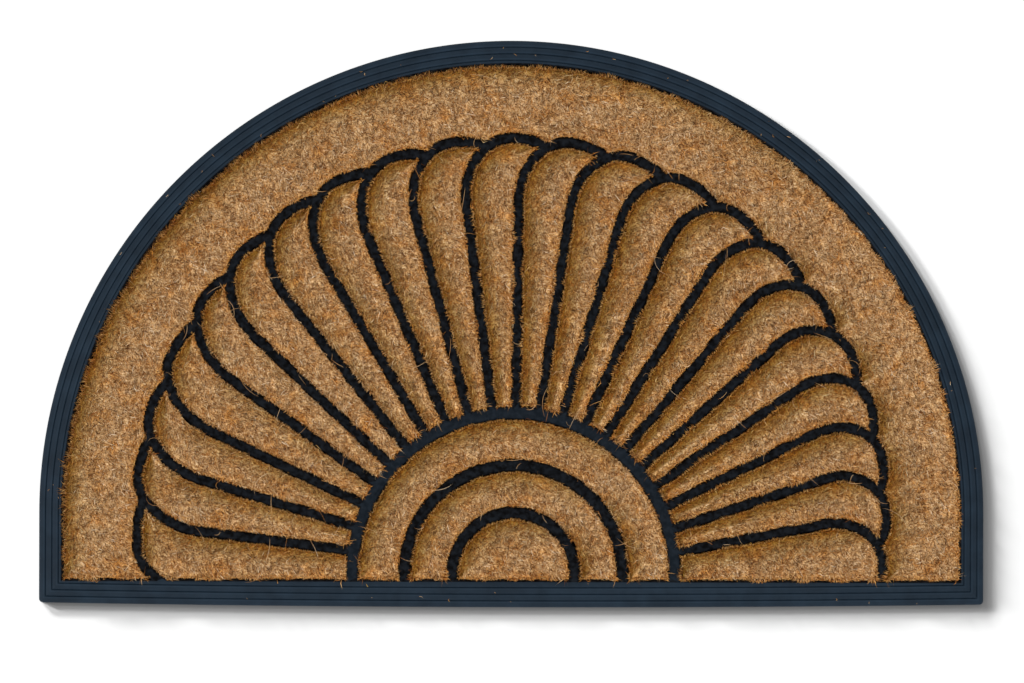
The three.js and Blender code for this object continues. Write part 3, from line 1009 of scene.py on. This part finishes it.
def make_strays(name, material):
    """Loose fibres on the pile and bars, and lint on the rim."""
    radius = ARC_RADIUS - LIP_END
    tries = (STRAY_TRIES * STRAY_COUNT, 2)
    spots = rng.uniform((-radius, POCKET_FRONT_Y), (radius, MAT_DEPTH / 2), tries)
    on_coir = np.linalg.norm(spots - ARC_CENTRE, axis=1) < radius - STRAY_MARGIN
    spots = spots[on_coir][:STRAY_COUNT]
    count = len(spots)
    lengths = np.where(rng.uniform(size=count) < SHORT_STRAYS, *STRAY_LENGTHS)
    lengths = lengths * rng.uniform(*STRAY_STRETCH, count)
    turn = rng.uniform(0, 360, count)
    curl = rng.normal(0, STRAY_CURL, count)
    height = rng.uniform(*STRAY_HEIGHT, count)
    lines = lying_lines(spots, height, lengths, turn, curl, STRAY_STEPS)
    lines = lines[lines[:, :, 1].min(axis=1) > POCKET_FRONT_Y - STRAY_OVERHANG]
    ends = np.linalg.norm(lines[:, -1, :2] - ARC_CENTRE, axis=1)
    strays = loose(lines[ends < radius + STRAY_OVERHANG], STRAY_TONE, STRAY_WIDTH)
    inset = rng.uniform(LINT_INSET, LIP_START, LINT_COUNT)
    around = rng.integers(0, len(rim_loop(0)), LINT_COUNT)
    spots = np.array([rim_loop(value)[place] for value, place in zip(inset, around)])
    height = EDGE_HEIGHT + EDGE_ROUND + RIM_RISE * inset + LINT_LIFT
    lengths = rng.uniform(*LINT_LENGTH, LINT_COUNT)
    turn = rng.uniform(0, 360, LINT_COUNT)
    curl = rng.normal(0, LINT_CURL, LINT_COUNT)
    lines = lying_lines(spots, height, lengths, turn, curl, STRAY_STEPS)
    return join_fibres(name, [strays, loose(lines, LINT_TONE, LINT_WIDTH)], material)


def srgb(red, green, blue):
    """A display colour of 0 to 255 as a linear one."""
    values = np.array([red, green, blue]) / 255
    linear = np.where(values <= 0.04045, values / 12.92, ((values + 0.055) / 1.055) ** 2.4)
    return (*linear, 1)


# Rubber: colours for a low and a high noise, and the fineness of each noise in bumps a metre. The bars
# are darker than the rim partly as painted shade from the pile beside them.
BAR_TONES = [(0.38, srgb(8, 8, 10)), (0.63, srgb(31, 35, 41))]
RIM_TONES = [(0.3, srgb(24, 42, 57)), (0.7, srgb(35, 55, 72))]
MOTTLE_SCALE = 60
DUST_SCALE = 230
GRAIN_SCALE = 900
GRAIN_DETAIL = 2
GRAIN_STRENGTH = 0.25
GRAIN_HEIGHT = 0.0003
RUBBER_ROUGHNESS = 0.55
BAR_SHEEN = 0.05
RIM_SHEEN = 0.25

# Coir: colours by tone, and the colours that some of it is multiplied by: warm patches, painted shade
# at the fibre roots and painted shade along the front right edges of the pockets
COIR_TONES = [
    (0, srgb(94, 54, 19)),
    (0.2, srgb(160, 115, 63)),
    (0.45, srgb(203, 164, 112)),
    (0.7, srgb(226, 195, 152)),
    (1, srgb(248, 236, 212)),
]
PATCH_SCALE = 42
PATCH_DEPTH = 0.2
BED_SCALE = 800
BED_TONE = (1.7, -0.41)
WARM_SCALE = 75
FINE_DETAIL = 3
WARM_SHARES = [(0.5, (0, 0, 0, 1)), (0.75, (1, 1, 1, 1))]
WARM_COLOUR = srgb(255, 222, 158)
FAR_DIGITS = 53
OWN_WARMTH = 0.5
ROOT_SHADE_SHARE = 0.9
ROOT_SHADE_COLOUR = srgb(196, 152, 96)
EDGE_SHADE_COLOUR = srgb(237, 203, 104)
COIR_ROUGHNESS = 0.75
COIR_SHEEN = 0.25

# Painted shade towards the back left of each pocket: the pile's colour darkens, first softly and then
# to a deep gold
PAINTED_POCKET_SHADES = [
    (0, srgb(255, 255, 255)),
    (0.12, srgb(245, 243, 235)),
    (0.3, srgb(225, 216, 184)),
    (0.45, srgb(222, 207, 154)),
    (0.65, srgb(224, 198, 114)),
    (1, srgb(222, 177, 60)),
]


class Look:
    """A material and its nodes. Most methods add a node and return what comes out of it."""

    def __init__(self, name):
        self.material = bpy.data.materials.new(name)
        self.material.use_nodes = True
        self.nodes = self.material.node_tree.nodes
        self.links = self.material.node_tree.links
        self.shader = self.nodes["Principled BSDF"]

    def give(self, socket, value):
        """Gives an input a plain value, or what comes out of another node."""
        if isinstance(value, bpy.types.NodeSocket):
            self.links.new(value, socket)
        else:
            socket.default_value = value

    def shade(self, **values):
        """Gives the shader its values, named after its inputs."""
        for label, value in values.items():
            self.give(self.shader.inputs[label.replace("_", " ")], value)

    def place(self):
        return self.nodes.new("ShaderNodeTexCoord").outputs["Object"]

    def noise(self, place, scale, detail=4):
        node = self.nodes.new("ShaderNodeTexNoise")
        for label, value in (("Vector", place), ("Scale", scale), ("Detail", detail)):
            self.give(node.inputs[label], value)
        return node.outputs["Fac"]

    def read(self, name):
        node = self.nodes.new("ShaderNodeAttribute")
        node.attribute_name = name
        return node.outputs["Fac"]

    def math(self, operation, *values):
        node = self.nodes.new("ShaderNodeMath")
        node.operation = operation
        for socket, value in zip(node.inputs, values):
            self.give(socket, value)
        return node.outputs[0]

    def ramp(self, value, stops):
        """A colour ramp of (position, colour) stops."""
        node = self.nodes.new("ShaderNodeValToRGB")
        elements = node.color_ramp.elements
        elements[0].position, elements[0].color = stops[0]
        elements[1].position, elements[1].color = stops[-1]
        for position, colour in stops[1:-1]:
            elements.new(position).color = colour
        self.give(node.inputs["Fac"], value)
        return node.outputs["Color"]

    def mix(self, share, low, high, blend="MIX"):
        node = self.nodes.new("ShaderNodeMix")
        node.data_type = "RGBA"
        node.blend_type = blend
        for label, value in (("Factor", share), ("A", low), ("B", high)):
            self.give(node.inputs[label], value)
        return node.outputs["Result"]

    def bump(self, height, strength, distance):
        node = self.nodes.new("ShaderNodeBump")
        for label, value in (("Strength", strength), ("Distance", distance), ("Height", height)):
            self.give(node.inputs[label], value)
        return node.outputs["Normal"]


def rubber_material():
    """Dark bars, dark partly as painted shade, and a paler rim with more sheen and a painted highlight
    along its rib edges.
    """
    look = Look("moulded_rubber")
    place = look.place()
    pale_and_painted_light = look.read("pale_and_painted_light")
    bars = look.ramp(look.noise(place, DUST_SCALE), BAR_TONES)
    rim = look.ramp(look.noise(place, MOTTLE_SCALE), RIM_TONES)
    grain = look.noise(place, GRAIN_SCALE, GRAIN_DETAIL)
    look.shade(
        Base_Color=look.mix(pale_and_painted_light, bars, rim),
        Specular_IOR_Level=look.math("MULTIPLY_ADD", pale_and_painted_light, RIM_SHEEN - BAR_SHEEN, BAR_SHEEN),
        Roughness=RUBBER_ROUGHNESS,
        Normal=look.bump(grain, GRAIN_STRENGTH, GRAIN_HEIGHT),
    )
    return look.material


def coir_material(name, fibre):
    """Coir, either as fibres that have tones of their own or as a bed toned by noise, with painted
    shade multiplied into the colour.
    """
    look = Look(name)
    place = look.place()
    if fibre:
        tone = look.read("tone")
    else:
        tone = look.math("MULTIPLY_ADD", look.noise(place, BED_SCALE, FINE_DETAIL), *BED_TONE)
    patches = look.noise(place, PATCH_SCALE)
    lean = look.math("MULTIPLY_ADD", patches, PATCH_DEPTH, -PATCH_DEPTH / 2)
    colour = look.ramp(look.math("ADD", tone, lean), COIR_TONES)
    warm = look.noise(place, WARM_SCALE, FINE_DETAIL)
    if fibre:
        # A second random value of each fibre, from the far digits of its first
        own = look.math("FRACT", look.math("MULTIPLY", tone, FAR_DIGITS))
        own = look.math("MULTIPLY_ADD", own, OWN_WARMTH, -OWN_WARMTH / 2)
        warm = look.math("ADD", warm, own)
    colour = look.mix(look.ramp(warm, WARM_SHARES), colour, WARM_COLOUR, "MULTIPLY")
    if fibre:
        # Painted shade at the fibre roots, fading towards the tips
        root = look.math("MULTIPLY_ADD", look.read("tip"), -ROOT_SHADE_SHARE, ROOT_SHADE_SHARE)
        colour = look.mix(root, colour, ROOT_SHADE_COLOUR, "MULTIPLY")
    # Painted shade towards the back left of each pocket
    colour = look.mix(1.0, colour, look.ramp(look.read("shade"), PAINTED_POCKET_SHADES), "MULTIPLY")
    # Painted shade, darker and warmer, along the front right edges of each pocket
    colour = look.mix(look.read("edge"), colour, EDGE_SHADE_COLOUR, "MULTIPLY")
    look.shade(Base_Color=colour, Roughness=COIR_ROUGHNESS, Specular_IOR_Level=COIR_SHEEN)
    return look.material


# Camera: straight down at the photograph's framing
LENS = 135
SENSOR = 36
VIEW_WIDTH = 813.2
VIEW_HEIGHT_AT = 4
VIEW_CENTRE = (0.25, -13.9)
VIEW_TURN = 0.145
camera_data = bpy.data.cameras.new("camera")
camera_data.lens = LENS
camera_data.sensor_width = SENSOR
camera = bpy.data.objects.new("camera", camera_data)
camera_height = VIEW_HEIGHT_AT + VIEW_WIDTH * LENS / SENSOR
camera.location = (*(value * METRES for value in VIEW_CENTRE), camera_height * METRES)
camera.rotation_euler = (0, 0, math.radians(VIEW_TURN))
bpy.context.scene.collection.objects.link(camera)
bpy.context.scene.camera = camera
bpy.context.scene.view_settings.view_transform = "Standard"

# Floor, with its half width in metres
FLOOR_HALF = 4
FLOOR_TONE = 0.34
floor_corners = [(x * FLOOR_HALF, y * FLOOR_HALF, 0) for x, y in ((-1, -1), (1, -1), (1, 1), (-1, 1))]
floor_mesh = bpy.data.meshes.new("floor")
floor_mesh.from_pydata(floor_corners, [], [(0, 1, 2, 3)])
floor = bpy.data.objects.new("floor", floor_mesh)
bpy.context.scene.collection.objects.link(floor)
floor_look = Look("floor")
floor_look.shade(
    Base_Color=(FLOOR_TONE, FLOOR_TONE, FLOOR_TONE, 1), Roughness=1, Specular_IOR_Level=0
)
floor_mesh.materials.append(floor_look.material)

# An even pale sky, and lights as strength, softness, elevation and azimuth in degrees. A fan of
# low ones from the back left gives the mat its soft shadow on the floor. The rubber has one
# from the front left, and the coir one from the front right.
SKY_STRENGTH = 0.62
FLOOR_SUNS = [
    (1.6, 5, 15.5, 111),
    (5.1, 5, 13.8, 123),
    (10.7, 5, 13, 133),
    (14.5, 8, 13, 152),
    (2.3, 5, 15.9, 164),
]
RUBBER_SUN = (0.7, 30, 40, -145)
COIR_SUN = (3.5, 20, 38, -40)
world = bpy.data.worlds.new("sky")
world.use_nodes = True
sky = world.node_tree.nodes["Background"]
sky.inputs["Color"].default_value = (1, 1, 1, 1)
sky.inputs["Strength"].default_value = SKY_STRENGTH
bpy.context.scene.world = world


def add_sun(name, strength, softness, elevation, azimuth, lit):
    """A distant light on some objects only, at degrees above the floor and round from +X."""
    data = bpy.data.lights.new(name, "SUN")
    data.energy = strength
    data.angle = math.radians(softness)
    sun = bpy.data.objects.new(name, data)
    sun.rotation_euler = (math.radians(90 - elevation), 0, math.radians(azimuth + 90))
    bpy.context.scene.collection.objects.link(sun)
    receivers = bpy.data.collections.new(name + "_receivers")
    for each in lit:
        receivers.objects.link(each)
    sun.light_linking.receiver_collection = receivers


tray = make_tray(rubber_material())
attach(tray, "root")
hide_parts("rubber_tray")

bed_coir = coir_material("coir_bed", False)
fibre_coir = coir_material("coir_fibre", True)
coir_pieces = []
for name, walls, columns in fields:
    bed = make_bed(name.replace("coir", "bed"), walls, columns, bed_coir)
    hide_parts(name)
    coir_pieces += [bed, *make_fibres(name.replace("coir", "fibres"), walls, fibre_coir)]
coir_pieces.append(make_strays("stray_fibres", fibre_coir))
for piece in coir_pieces:
    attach(piece, "root")

for number, values in enumerate(FLOOR_SUNS):
    add_sun(f"floor_{number}", *values, [floor])
add_sun("rubber_key", *RUBBER_SUN, [tray])
add_sun("pile_key", *COIR_SUN, coir_pieces)
